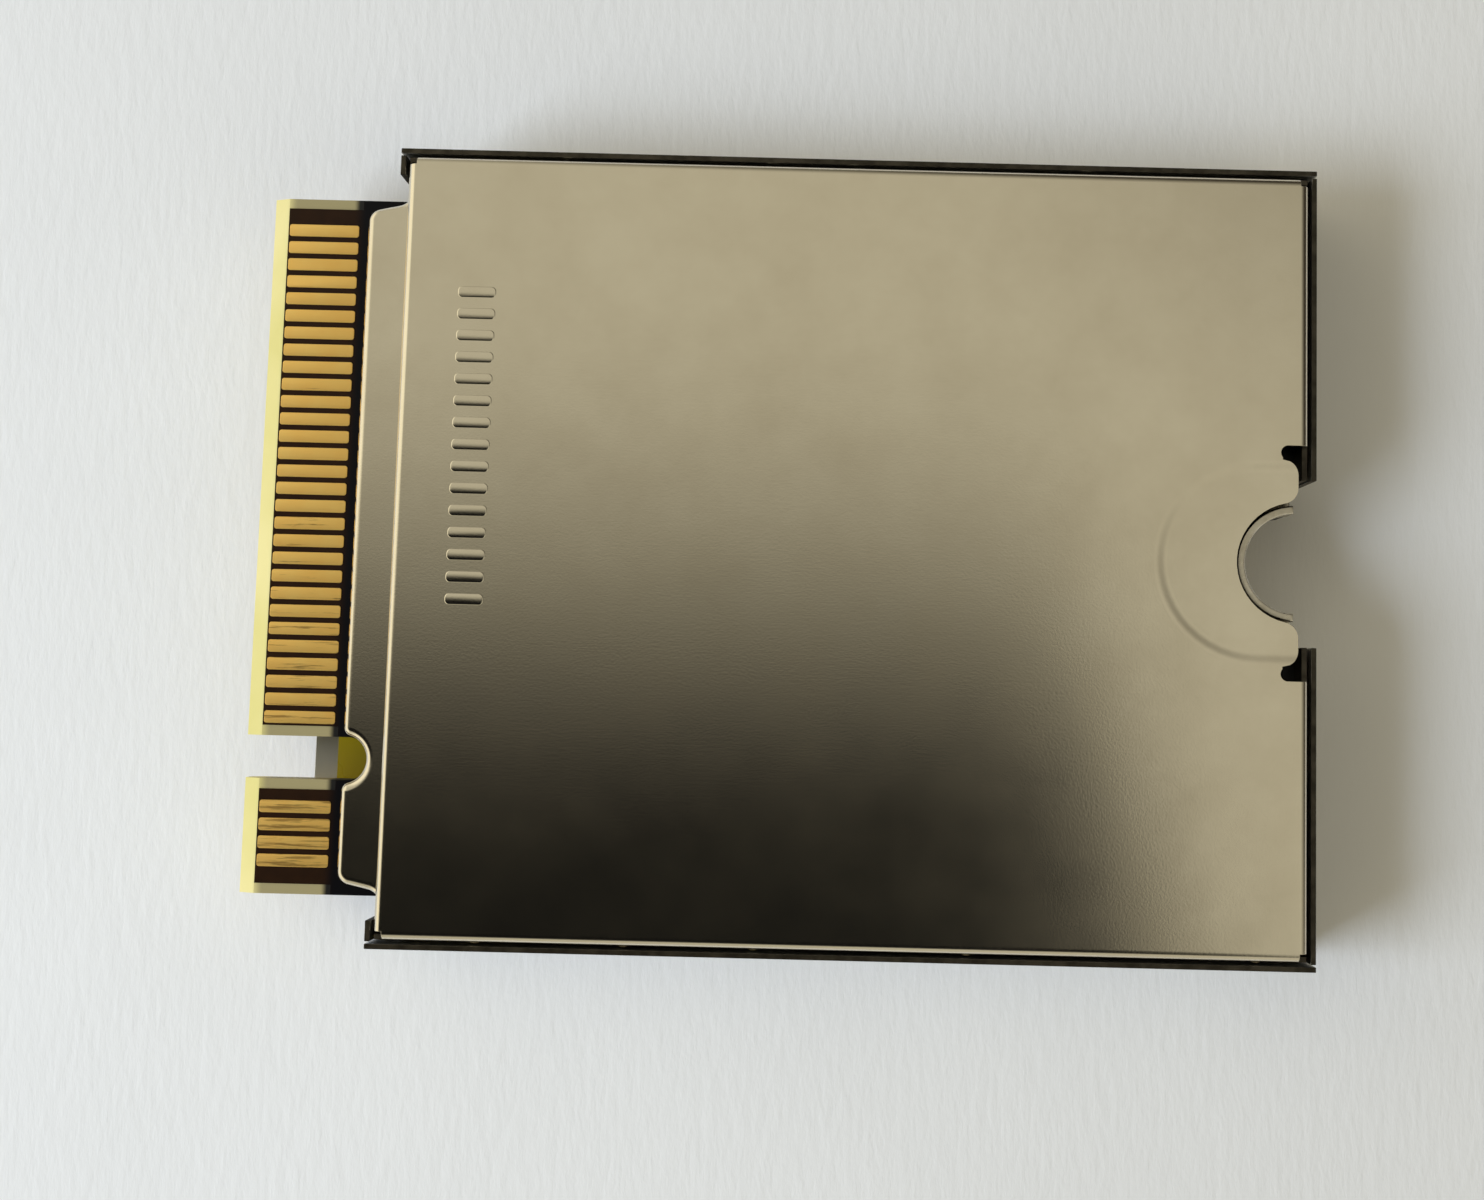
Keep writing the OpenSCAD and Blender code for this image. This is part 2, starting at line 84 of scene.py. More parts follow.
room = bpy.data.worlds.new("room")
bpy.context.scene.world = room
room.use_nodes = True
tree = room.node_tree
tree.nodes.clear()
ray = add(tree, "SeparateXYZ", {0: add(tree, "TexCoord").outputs["Generated"]})
height = add(tree, "Math", {0: ray.outputs["Z"], 1: 0.05}, operation="MAXIMUM")
across = add(tree, "Math", {0: ray.outputs["X"], 1: height.outputs[0]}, operation="DIVIDE")
along = add(tree, "Math", {0: ray.outputs["Y"], 1: height.outputs[0]}, operation="DIVIDE")
soft = {"interpolation_type": "SMOOTHSTEP"}
# the holder's shape fades out to the right, towards the upper edge and near the horizon
slant = add(tree, "Math", {0: along.outputs[0], 1: 0.26, 2: across.outputs[0]},
            operation="MULTIPLY_ADD")
shade_x = add(tree, "MapRange", {0: slant.outputs[0], 1: 0.204, 2: 0.142}, **soft)
shade_y = add(tree, "MapRange", {0: along.outputs[0], 1: 0.24, 2: -0.08}, **soft)
shade_z = add(tree, "MapRange", {0: ray.outputs["Z"], 1: 0.45, 2: 0.75}, **soft)
shade = add(tree, "Math", {0: shade_x.outputs[0], 1: shade_y.outputs[0]}, operation="MULTIPLY")
shade = add(tree, "Math", {0: shade.outputs[0], 1: shade_z.outputs[0]}, operation="MULTIPLY")
# the far right of the room is dim, which darkens what faces it
far = add(tree, "VectorMath", {0: add(tree, "TexCoord").outputs["Generated"], 1: (0.75, 0.66, 0)},
          operation="DOT_PRODUCT")
far = add(tree, "MapRange", {0: far.outputs["Value"], 1: 0.2, 2: 0.82}, **soft)
# the left side of the room is the brightest, and draws the light line along bends that face it
near = add(tree, "MapRange", {0: ray.outputs["X"], 1: -0.45, 2: -0.72}, **soft)
wall_light, left_light = (0.60, 0.57, 0.46, 1), (1.25, 1.17, 0.93, 1)
far_light, holder_light = (0.05, 0.042, 0.032, 1), (0.006, 0.006, 0.006, 1)
lit = add(tree, "Mix", {0: near.outputs[0], 6: wall_light, 7: left_light}, data_type="RGBA")
walls = add(tree, "Mix", {0: far.outputs[0], 6: lit.outputs[2], 7: far_light}, data_type="RGBA")
seen = add(tree, "Mix", {0: shade.outputs[0], 6: walls.outputs[2], 7: holder_light},
           data_type="RGBA")
sky = add(tree, "Background", {0: seen.outputs[2], 1: 1.0})
add(tree, "OutputWorld", {0: sky.outputs[0]})
bpy.context.scene.view_settings.view_transform = "Standard"

# Daylight from one window, low on the left and a little towards the lower edge: cool and soft.
window = bpy.data.objects.new("window", bpy.data.lights.new("window", "AREA"))
bpy.context.scene.collection.objects.link(window)
window.data.shape = "RECTANGLE"
window.data.size = 130 * mm
window.data.size_y = 100 * mm
window.data.energy = 0.57
window.data.color = (0.64, 0.75, 0.95)
window.visible_glossy = False
window.location = Vector((-185, -60, 122)) * mm
window.rotation_mode = "QUATERNION"
window.rotation_quaternion = window.location.to_track_quat("Z", "Y")


# The sheet of white paper that the drive lies on: matt uncoated stock, a little warm, with fibres
# that lie mostly one way.
def blank(name):
    """A new material whose shader is empty. Gives the material and the shader's node tree."""
    made = bpy.data.materials.new(name)
    made.use_nodes = True
    made.node_tree.nodes.clear()
    return made, made.node_tree


paper, tree = blank("uncoated_white_paper")
place = add(tree, "TexCoord").outputs["Object"]
# fibres about 1 mm long and 0.3 mm apart, drawn coarser than real ones so that they show
fibres = add(tree, "Mapping", {0: place, 3: (3200, 900, 1)})
fibres = add(tree, "TexNoise", {0: fibres.outputs[0], "Scale": 1, "Detail": 4, "Roughness": 0.6})
mottle = add(tree, "TexNoise", {0: place, "Scale": 140, "Detail": 2})
tint = add(tree, "Mix", {0: mottle.outputs[0], 6: linear("#F6F3EC"), 7: linear("#F0EDE6")},
           data_type="RGBA")
relief = add(tree, "Bump", {"Strength": 0.6, "Distance": 0.03 * mm, "Height": fibres.outputs[0]})
sheet = add(tree, "BsdfPrincipled", {"Base Color": tint.outputs[2], "Roughness": 0.95,
                                     "Specular IOR Level": 0.2, "Normal": relief.outputs[0]})
add(tree, "OutputMaterial", {0: sheet.outputs[0]})
bm = bmesh.new()
floor_half = 3  # metres, so that no view from the side shows the sheet's edge close by
bmesh.ops.create_grid(bm, x_segments=2, y_segments=2, size=floor_half)
mesh = bpy.data.meshes.new("paper")
bm.to_mesh(mesh)
bm.free()
floor = bpy.data.objects.new("paper", mesh)
bpy.context.scene.collection.objects.link(floor)
floor.data.materials.append(paper)


# The upper cover: nickel silver sheet 0.15 mm thick, pressed and folded into a shallow lid. Its
# walls go down inside the tray's, and its front steps down to a ledge whose lip meets the card.
def nickel_silver(name, colour, worn, rough, wave):
    """Satin rolled nickel silver: a warm grey metal that mirrors softly, with fine lines."""
    made, tree = blank(name)
    place = add(tree, "TexCoord").outputs["Object"]
    # rolling lines 0.04 mm apart along the card, waves about 5 mm long left by pressing, and
    # smudges about 2 mm wide from handling
    lines = add(tree, "Mapping", {0: place, 3: (1500, 24000, 24000)})
    lines = add(tree, "TexNoise", {0: lines.outputs[0], "Scale": 1, "Detail": 3})
    waves = add(tree, "TexNoise", {0: place, "Scale": 210, "Detail": 1.5, "Roughness": 0.4})
    smudge = add(tree, "TexNoise", {0: place, "Scale": 420, "Detail": 5, "Roughness": 0.62})
    tint = add(tree, "MapRange", {0: smudge.outputs[0], 1: 0.3, 2: 0.7})
    tint = add(tree, "Mix", {0: tint.outputs[0], 6: linear(colour), 7: linear(worn)},
               data_type="RGBA")
    dull = add(tree, "MapRange", {0: smudge.outputs[0], 1: 0.25, 2: 0.75, 3: rough,
                                  4: rough + 0.04})
    bend = add(tree, "Bump", {"Strength": 1, "Distance": wave * mm, "Height": waves.outputs[0]})
    grain = add(tree, "Bump", {"Strength": 0.05, "Distance": 0.004 * mm, "Height": lines.outputs[0],
                               "Normal": bend.outputs[0]})
    # the satin's pits, about 0.07 mm apart, drawn coarser than real ones so that they show
    pits = add(tree, "TexNoise", {0: place, "Scale": 14000, "Detail": 2, "Roughness": 0.7})
    grain = add(tree, "Bump", {"Strength": 0.5, "Distance": 0.0016 * mm, "Height": pits.outputs[0],
                               "Normal": grain.outputs[0]})
    metal = add(tree, "BsdfPrincipled", {"Base Color": tint.outputs[2], "Metallic": 1.0,
                                         "Roughness": dull.outputs[0], "Normal": grain.outputs[0]})
    add(tree, "OutputMaterial", {0: metal.outputs[0]})
    return made


cover_metal = nickel_silver("satin_nickel_silver_cover", "#DFD7C4", "#D8CFBB", 0.13, 0.008)
# sizes in millimetres, X from the tab's tip; a bend in the plane has a facet each 7.5 degrees
sheet_t = 0.15
fold_r = 0.25
step_x = 4.08
lip_x = 2.85
side_y = 11.0
end_x = 29.72
top_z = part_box("upper_cover")[1].z / mm
foot_z = 2.36
ledge_z = 2.85
facet = 7.5


def walk(bm, at, heading, steps):
    """Draws a line by moving one vertex: a run goes straight, left and right spin it round a centre
    beside it, aim sets its heading. Gives the vertices, the direction to the left of each, and the
    pair of vertices at the ends of each named run."""
    heading = radians(heading)
    tip = bm.verts.new(at)
    line, lefts, named = [tip], [Vector((-sin(heading), cos(heading), 0))], {}
    for kind, size, *more in steps:
        if kind == "aim":
            heading = radians(size)
            continue
        if kind == "run":
            past = tip
            tip = bmesh.ops.extrude_vert_indiv(bm, verts=[tip])["verts"][0]
            bmesh.ops.translate(bm, verts=[tip], vec=Vector((cos(heading), sin(heading), 0)) * size)
            line.append(tip)
            lefts.append(Vector((-sin(heading), cos(heading), 0)))
            if more:
                named[more[0]] = (past, tip)
            continue
        side = 1 if kind == "left" else -1
        centre = tip.co + Vector((-sin(heading), cos(heading), 0)) * size * side
        count = max(3, ceil(more[0] / facet))
        bmesh.ops.spin(bm, geom=[tip], cent=centre, axis=(0, 0, 1), angle=side * radians(more[0]),
                       steps=count)
        for k in range(count):
            heading += side * radians(more[0]) / count
            others = [edge.other_vert(line[-1]) for edge in line[-1].link_edges]
            line.append(next(v for v in others if v not in line[-2:-1]))
            lefts.append(Vector((-sin(heading), cos(heading), 0)))
        tip = line[-1]
    return line, lefts, named


def closed(bm, line):
    """Welds a line's end to its start and fills the loop with a face."""
    bmesh.ops.weld_verts(bm, targetmap={line[-1]: line[0]})
    ring = line[:-1]
    edges = [bm.edges.get(pair) for pair in zip(ring, ring[1:] + ring[:1])]
    return bmesh.ops.contextual_create(bm, geom=edges)["faces"]


def strip(bm, line, lefts, aside, down):
    """Pulls a line of edges into a band, aside to its left and down. Gives the band's far line."""
    edges = [bm.edges.get(pair) for pair in zip(line, line[1:])]
    made = bmesh.ops.extrude_edge_only(bm, edges=edges)["geom"]
    fresh = {v for v in made if isinstance(v, bmesh.types.BMVert)}
    far = [next(e.other_vert(v) for e in v.link_edges if e.other_vert(v) in fresh) for v in line]
    for v, left in zip(far, lefts):
        v.co += left * aside - Vector((0, 0, down))
    return far


def fold(bm, ends, out, radius, foot, reach=(0, 0)):
    """Bends the sheet down along one straight edge and draws its wall to foot. The wall may reach
    past the bend at its two ends. Gives the wall's last two vertices."""
    up = Vector((0, 0, 1 if foot < ends[0].co.z else -1))
    run = (ends[1].co - ends[0].co).normalized()
    turned = bmesh.ops.spin(bm, geom=[*ends, bm.edges.get(ends)], cent=ends[0].co - up * radius,
                            axis=up.cross(out), angle=pi / 2, steps=8)["geom_last"]
    last = sorted((v for v in turned if isinstance(v, bmesh.types.BMVert)),
                  key=lambda v: v.co.dot(run))
    short = 0.01
    for drop, far in ((short, reach), (None, (0, 0))):
        made = bmesh.ops.extrude_edge_only(bm, edges=[bm.edges.get(last)])["geom"]
        last = sorted((v for v in made if isinstance(v, bmesh.types.BMVert)),
                      key=lambda v: v.co.dot(run))
        for v, more in zip(last, (-far[0], far[1])):
            v.co += run * more
            v.co.z = foot if drop is None else v.co.z - up.z * drop
    return last


def piece(bm, name, finish, up=None):
    """Makes a riding object of a mesh that was drawn in millimetres from the tab's tip."""
    bmesh.ops.remove_doubles(bm, verts=bm.verts, dist=0.0005)
    bmesh.ops.recalc_face_normals(bm, faces=bm.faces)
    widest = max(bm.faces, key=lambda f: f.calc_area())
    if up and widest.normal.z * up < 0:
        bmesh.ops.reverse_faces(bm, faces=bm.faces)
    bmesh.ops.translate(bm, verts=bm.verts, vec=(-15, 0, 0))
    bmesh.ops.scale(bm, verts=bm.verts, vec=(mm, mm, mm))
    mesh = bpy.data.meshes.new(name)
    bm.to_mesh(mesh)
    bm.free()
    mesh.shade_smooth()
    mesh.materials.append(finish)
    made = bpy.data.objects.new(name, mesh)
    bpy.context.scene.collection.objects.link(made)
    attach(made, "root")
    return made


def sheared(made, thick, edge):
    """Gives a folded skin its thickness, softens the sheared edges and weighs the normals."""
    made.data.materials.append(cut_edge_and_shade_metal)
    shell = made.modifiers.new("sheet", "SOLIDIFY")
    shell.thickness, shell.offset, shell.use_even_offset = thick * mm, -1, True
    shell.material_offset_rim = 1
    rounded = made.modifiers.new("sheared_edge", "BEVEL")
    rounded.width, rounded.segments, rounded.limit_method = edge * mm, 2, "ANGLE"
    rounded.angle_limit, rounded.harden_normals = radians(50), True
    made.modifiers.new("flat", "WEIGHTED_NORMAL").keep_sharp = True


def finish(name, light, dark, rough, grain, depth, metallic=0.0):
    """A finish whose colour drifts between two tones, with a grain of a size in millimetres."""
    made, tree = blank(name)
    place = add(tree, "TexCoord").outputs["Object"]
    drift = add(tree, "TexNoise", {0: place, "Scale": 0.12 / (grain * mm), "Detail": 3})
    tint = add(tree, "MapRange", {0: drift.outputs[0], 1: 0.35, 2: 0.65})
    tint = add(tree, "Mix", {0: tint.outputs[0], 6: linear(light), 7: linear(dark)},
               data_type="RGBA")
    grit = add(tree, "TexNoise", {0: place, "Scale": 0.5 / (grain * mm), "Detail": 2})
    dull = add(tree, "MapRange", {0: grit.outputs[0], 1: 0.3, 2: 0.7, 3: rough,
                                  4: rough + 0.12})
    relief = add(tree, "Bump", {"Strength": 0.4, "Distance": depth * mm, "Height": grit.outputs[0]})
    body = add(tree, "BsdfPrincipled", {"Base Color": tint.outputs[2], "Metallic": metallic,
                                        "Roughness": dull.outputs[0],
                                        "Normal": relief.outputs[0]})
    add(tree, "OutputMaterial", {0: body.outputs[0]})
    return made


# the cut edge of the sheet: torn by the punch and matt, and partly painted shade: its colour is far
# darker than the rolled faces, for the dark gap lines along the rims
cut_edge_and_shade_metal = finish("sheared_nickel_silver_edge_and_painted_shade", "#5A554C", "#423E37", 0.45, 0.05, 0.004,
                   metallic=1.0)
bm = bmesh.new()
dish_x, dish_r, dish_depth, dish_slope = 28.25, 2.9, 0.036, 0.42
ear_x, ear_r, notch_x, notch_r = 29.42, 0.45, 29.4, 1.7
bend_x, bend_y = end_x - fold_r, side_y - fold_r
shoulder_y = 10.15
mouth_half = 2.35
# the relief slots beside the ear: each ends in an arc that starts a little below the dish's rim
slot_w, slot_r, slot_run, slot_lead, slot_turn = 0.4, 0.2, 0.35, 0.068, 131.4
outline, lefts, runs = walk(bm, (ear_x - ear_r, dish_r, top_z), 180, [
    ("run", ear_x - ear_r - dish_x), ("left", dish_r, 180), ("run", ear_x - ear_r - dish_x),
    ("aim", -90), ("run", slot_lead), ("aim", 360 - slot_turn), ("left", slot_r, slot_turn),
    ("run", slot_run), ("aim", -90), ("run", bend_y - dish_r - slot_w, "end_low"),
    ("aim", 180), ("run", bend_x - step_x - fold_r, "side_low"),
    ("aim", 90), ("run", bend_y - shoulder_y, "shoulder_low"), ("run", 2 * shoulder_y, "step"),
    ("run", bend_y - shoulder_y, "shoulder_high"),
    ("aim", 0), ("run", bend_x - step_x - fold_r, "side_high"),
    ("aim", -90), ("run", bend_y - dish_r - slot_w, "end_high"),
    ("aim", 180), ("run", slot_run), ("left", slot_r, slot_turn), ("aim", -90),
    ("run", slot_lead),
])
closed(bm, outline)

# the dish round the screw, which lets the screw's head sink to the top of the cover; its first and
# last bands lie flat, so that the faces beside them are lit as flat
steps = 8
past = 0
rim_count = 27
rim, sides = outline[:rim_count], lefts[:rim_count]
sides[0], sides[-1] = Vector((0, -1, 0)), Vector((0, 1, 0))
for k in range(1, steps + 1):
    t = min(max((k - 1) / (steps - 2), 0), 1)
    drop = dish_depth * t * t * (3 - 2 * t)
    rim = strip(bm, rim, sides, dish_slope / steps, drop - past)
    past = drop
    off = ear_r - dish_slope * k / steps
    for v in (rim[0], rim[-1]):
        v.co.x = ear_x - ear_r + sqrt(max(0, ear_r ** 2 - off ** 2))
# the corner beside the notch and the notch's own arc touch at this angle
hub_y = sqrt((notch_r + ear_r) ** 2 - (ear_x - ear_r - notch_x) ** 2)
touch = 180 / pi * acos((notch_x - ear_x + ear_r) / (notch_r + ear_r))
mouth, _, _ = walk(bm, (ear_x, dish_r - ear_r, top_z - dish_depth), -90, [
    ("run", dish_r - ear_r - hub_y), ("right", ear_r, touch), ("left", notch_r, 2 * touch),
    ("right", ear_r, touch), ("run", dish_r - ear_r - hub_y),
])
closing = [bm.edges.new((rim[0], mouth[0])), bm.edges.new((rim[-1], mouth[-1]))]
bmesh.ops.contextual_create(bm, geom=closing + [bm.edges.get(pair) for line in (rim, mouth)
                                                for pair in zip(line, line[1:])])

# the folded walls; at the front the sheet steps down to the ledge in an S
slit = 0.04
fold(bm, runs["side_low"], Vector((0, -1, 0)), fold_r, foot_z, (fold_r, fold_r))
fold(bm, runs["side_high"], Vector((0, 1, 0)), fold_r, foot_z, (fold_r, fold_r))
past_slot = dish_r + slot_w - mouth_half
fold(bm, runs["end_low"], Vector((1, 0, 0)), fold_r, foot_z, (past_slot, slit))
fold(bm, runs["end_high"], Vector((1, 0, 0)), fold_r, foot_z, (slit, past_slot))
fold(bm, runs["shoulder_low"], Vector((-1, 0, 0)), fold_r, foot_z, (slit, 0))
fold(bm, runs["shoulder_high"], Vector((-1, 0, 0)), fold_r, foot_z, (0, slit))
root_r = 0.06
low = fold(bm, runs["step"], Vector((-1, 0, 0)), fold_r, ledge_z + root_r)
bmesh.ops.spin(bm, geom=[*low, bm.edges.get(low)], cent=low[0].co - Vector((root_r, 0, 0)),
               axis=(0, -1, 0), angle=-pi / 2, steps=5)

# the ledge over the tab: its lip turns its corners in S-curves and dips round the key notch
lip_r, key_y = 0.22, 6.125
inner_r, outer_r, corner_turn = 0.45, 0.4, 78
turn = radians(corner_turn)
shoulder_run = (step_x - lip_x - (inner_r + outer_r) * (1 - cos(turn))) / sin(turn)
ledge_half = shoulder_y - (inner_r + outer_r) * sin(turn) - shoulder_run * cos(turn)
dip, lead_r, dip_r = 0.67, 0.25, 0.68
turn = acos(1 - dip / (lead_r + dip_r))
dip_half, dip_turn = (lead_r + dip_r) * sin(turn), turn * 180 / pi
line, lefts, _ = walk(bm, (step_x, shoulder_y, foot_z), -90, [
    ("right", inner_r, corner_turn), ("run", shoulder_run), ("left", outer_r, corner_turn),
    ("run", ledge_half + key_y - dip_half), ("left", lead_r, dip_turn),
    ("right", dip_r, 2 * dip_turn), ("left", lead_r, dip_turn),
    ("run", ledge_half - key_y - dip_half), ("left", outer_r, corner_turn),
    ("run", shoulder_run), ("right", inner_r, corner_turn),
])
line = strip(bm, line, lefts, 0, foot_z - ledge_z + lip_r)
# the lip's quarter bend, 15 degrees at a time
for k in range(1, 7):
    a, b = radians(15 * k - 15), radians(15 * k)
    line = strip(bm, line, lefts, lip_r * (cos(a) - cos(b)), lip_r * (sin(a) - sin(b)))
line = strip(bm, line, lefts, 0.03, 0)
# the ledge itself is drawn well past the step and cut off just behind it
flat = strip(bm, line, lefts, 0, 0)
for v in flat:
    v.co.x = max(v.co.x + 0.02, step_x + 0.3)
band = {f for v in flat for f in v.link_faces}
parts = [*band, *{e for f in band for e in f.edges}, *{v for f in band for v in f.verts}]
bmesh.ops.bisect_plane(bm, geom=parts, plane_co=(step_x + 0.06, 0, 0), plane_no=(1, 0, 0),
                       clear_outer=True)
cover = piece(bm, "cover_shell", cover_metal, up=1)
sheared(cover, sheet_t, 0.02)
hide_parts("upper_cover")


# The dimples pressed out of the cover's side walls. They snap against the tray's walls, hold the
# two halves together and show as small bright dots down in the gap.
dimple_r, dimple_z = 0.22, 2.78
low_shares, high_shares = (0.106, 0.266, 0.406, 0.636, 0.948), (0.176, 0.404, 0.496, 0.757)
bm = bmesh.new()
for side, shares in ((-1, low_shares), (1, high_shares)):
    for share in shares:
        spot = Vector((step_x + share * (end_x - step_x), side * (side_y - 0.01), dimple_z))
        squash = Matrix.Translation(spot) @ Matrix.Diagonal((1, 0.55, 1, 1))
        bmesh.ops.create_uvsphere(bm, u_segments=20, v_segments=12, radius=dimple_r,
                                  matrix=squash)
piece(bm, "cover_dimples", cover_metal)


# A row of plain stamped ribs near the step, pressed a hair above the plate, where such covers carry
# their stamping. They are all alike and stand for nothing.
def raised(bm, line, rise):
    """Fills a line's loop and raises a copy of the face, with walls between. Gives what is new."""
    made = bmesh.ops.extrude_face_region(bm, geom=closed(bm, line), use_keep_orig=True)["geom"]
    top = [v for v in made if isinstance(v, bmesh.types.BMVert)]
    bmesh.ops.translate(bm, verts=top, vec=(0, 0, rise))
    return made


def pads(bm, spots, size, z, proud, soften, corner):
    """Draws low pads with rounded corners, one round each spot, and softens their top edges."""
    for x, y in spots:
        steps = []
        for side in (*size, *size):
            steps += [("run", side - 2 * corner), ("left", corner, 90)]
        line, _, _ = walk(bm, (x - size[0] / 2 + corner, y - size[1] / 2, z), 0, steps)
        edges = [e for e in raised(bm, line, proud) if isinstance(e, bmesh.types.BMEdge)]
        bmesh.ops.bevel(bm, geom=edges, offset=soften, segments=3, profile=0.5, affect="EDGES",
                        material=-1)


rib_x, first_rib_y, rib_pitch, rib_count, rib_size = 6.2, -1.6, 0.62, 15, (1.1, 0.34)
bm = bmesh.new()
pads(bm, [(rib_x, first_rib_y + rib_pitch * k) for k in range(rib_count)], rib_size,
     top_z - 0.03, 0.042, 0.04, 0.14)
piece(bm, "stamped_ribs", cover_metal)


# The lower tray: the same sheet, folded up round the card and the cover. Its walls stand a hair
# outside the cover's, and a tongue of its floor reaches under the tab.
# its colour is a cool blue-grey, unlike the cover's warm tone of the same alloy: painted reflection
# of the cool window light, which the metals do not mirror
tray_metal_painted_cool_light = nickel_silver("satin_nickel_silver_tray_painted_cool_light", "#C9CCD0", "#D3D4D4", 0.32, 0.012)
tray_front, tray_end, tray_half, rim_z = 3.8, 30.0, 11.28, 3.07
tray_notch_r, tray_ear_r, ear_back = 1.85, 0.225, 0.3
front_y, tongue_back, tongue_l, tongue_w, tongue_r = 10.5, 1.2, 2.1, 17.8, 0.4
inner_x, inner_y = tray_end - fold_r, tray_half - fold_r
hub_x = tray_end - ear_back - tray_ear_r
hub_y = sqrt((tray_notch_r + tray_ear_r) ** 2 - (hub_x - notch_x) ** 2)
touch = 180 / pi * acos((notch_x - hub_x) / (tray_notch_r + tray_ear_r))
bm = bmesh.new()
outline, _, runs = walk(bm, (tray_end - ear_back, hub_y, 0), -90, [
    ("right", tray_ear_r, touch), ("left", tray_notch_r, 2 * touch), ("right", tray_ear_r, touch),
    ("run", mouth_half - hub_y), ("aim", 0), ("run", ear_back - fold_r),
    ("aim", -90), ("run", inner_y - mouth_half, "end_low"),
    ("aim", 180), ("run", inner_x - tray_front - fold_r, "side_low"),
    ("aim", 90), ("run", inner_y - front_y, "front_low"), ("aim", 180), ("run", fold_r),
    ("aim", 90), ("run", tongue_back), ("aim", 180), ("run", tongue_l),
    ("right", tongue_r, 90), ("run", tongue_w), ("right", tongue_r, 90), ("run", tongue_l),
    ("aim", 90), ("run", tongue_back), ("aim", 0), ("run", fold_r),
    ("aim", 90), ("run", inner_y - front_y, "front_high"),
    ("aim", 0), ("run", inner_x - tray_front - fold_r, "side_high"),
    ("aim", -90), ("run", inner_y - mouth_half, "end_high"),
    ("aim", 180), ("run", ear_back - fold_r), ("aim", -90), ("run", mouth_half - hub_y),
])
closed(bm, outline)
for name, out, reach in (("side_low", (0, -1, 0), (fold_r, fold_r)),
                         ("side_high", (0, 1, 0), (fold_r, fold_r)),
                         ("end_low", (1, 0, 0), (0, slit)), ("end_high", (1, 0, 0), (slit, 0)),
                         ("front_low", (-1, 0, 0), (slit, 0)),
                         ("front_high", (-1, 0, 0), (0, slit))):
    fold(bm, runs[name], Vector(out), fold_r, rim_z, reach)
tray = piece(bm, "tray_shell", tray_metal_painted_cool_light, up=-1)
sheared(tray, sheet_t, 0.045)
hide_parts("lower_tray")


# The circuit card: glass and epoxy laminate 0.8 mm thick, milled to outline, with a bevelled tip.
# Its bare yellow-green edge shows at the tip and round the key notch.
def dress(name, made):
    """Gives a solid of the frame its finish."""
    for part in nodes[name].material_slots:
        part.material = made


# bare laminate: matt, with the glass weave faint under the resin
laminate = finish("glass_epoxy_laminate", "#EADA94", "#DDCF80", 0.5, 0.4, 0.01)
tree = laminate.node_tree
body = tree.nodes["Principled BSDF"]
axes = add(tree, "SeparateXYZ", {0: add(tree, "TexCoord").outputs["Object"]})
# behind the bevelled tip the milled edge is duller, and beyond the contacts the edge is painted
# near black: painted shade beside and under the cover's ledge
milled = add(tree, "MapRange", {0: axes.outputs[0], 1: -14.65 * mm, 2: -14.3 * mm}, **soft)
painted_shade_edge = add(tree, "MapRange", {0: axes.outputs[0], 1: -12.7 * mm, 2: -12.5 * mm}, **soft)
tone = body.inputs["Base Color"].links[0].from_socket
tone = add(tree, "Mix", {0: milled.outputs[0], 6: tone, 7: linear("#A6986C")}, data_type="RGBA")
tone = add(tree, "Mix", {0: painted_shade_edge.outputs[0], 6: tone.outputs[2], 7: linear("#0A0A0D")},
           data_type="RGBA")
tree.links.new(tone.outputs[2], body.inputs["Base Color"])
dress("circuit_board", laminate)


# The solder mask on both faces: a thin blue-black lacquer. Between the contacts it is thin over the
# laminate, and looks dark brown.
mask, tree = blank("blue_black_solder_mask")
place = add(tree, "TexCoord").outputs["Object"]
axes = add(tree, "SeparateXYZ", {0: place})
thin = add(tree, "MapRange", {0: axes.outputs[0], 1: -12.3 * mm, 2: -12.7 * mm}, **soft)
cloud = add(tree, "TexNoise", {0: place, "Scale": 2600, "Detail": 3})
brown = add(tree, "Mix", {0: cloud.outputs[0], 6: linear("#2E1A0C"), 7: linear("#1D1008")},
            data_type="RGBA")
tone = add(tree, "Mix", {0: thin.outputs[0], 6: linear("#07070B"), 7: brown.outputs[2]},
           data_type="RGBA")
ripple = add(tree, "Bump", {"Strength": 0.3, "Distance": 0.004 * mm, "Height": cloud.outputs[0]})
lacquer = add(tree, "BsdfPrincipled", {"Base Color": tone.outputs[2], "Roughness": 0.42,
                                       "Specular IOR Level": 0.15, "Normal": ripple.outputs[0]})
add(tree, "OutputMaterial", {0: lacquer.outputs[0]})
dress("lower_solder_mask", mask)
